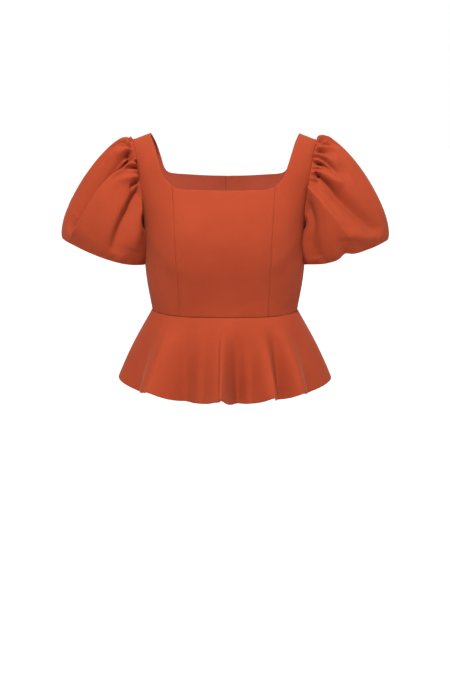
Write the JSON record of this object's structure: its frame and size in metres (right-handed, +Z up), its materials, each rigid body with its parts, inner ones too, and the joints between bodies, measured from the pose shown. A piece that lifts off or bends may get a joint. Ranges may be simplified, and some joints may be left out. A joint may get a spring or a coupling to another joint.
{
  "type": "peplum top",
  "caption": "Square-necked fitted top with wide straps, a seamed bodice, gathered puff sleeves turned under at the hem and a fluted peplum, standing open as worn.",
  "frame": {"origin": "midway between the shoulders, at the height where the straps rest on them", "axes": "+X towards the wearer's left, +Y towards the wearer's back, +Z up"},
  "size_m": [0.6294, 0.3448, 0.4926],
  "materials": {
    "bodice_front_centre": "matte",
    "bodice_front_left": "matte",
    "bodice_front_right": "matte",
    "bodice_back_left": "matte",
    "bodice_back_right": "matte",
    "peplum_front": "matte",
    "peplum_back": "matte",
    "sleeve_left": "matte",
    "sleeve_right": "matte",
    "sleeve_band_left": "matte",
    "sleeve_band_right": "matte"
  },
  "bodies": {
    "root": {"bodice_front_centre": "bodice_front_centre", "bodice_front_left": "bodice_front_left", "bodice_front_right": "bodice_front_right", "bodice_back_left": "bodice_back_left", "bodice_back_right": "bodice_back_right", "peplum_front": "peplum_front", "peplum_back": "peplum_back", "sleeve_left": "sleeve_left", "sleeve_right": "sleeve_right", "sleeve_band_left": "sleeve_band_left", "sleeve_band_right": "sleeve_band_right"}
  },
  "joints": []
}
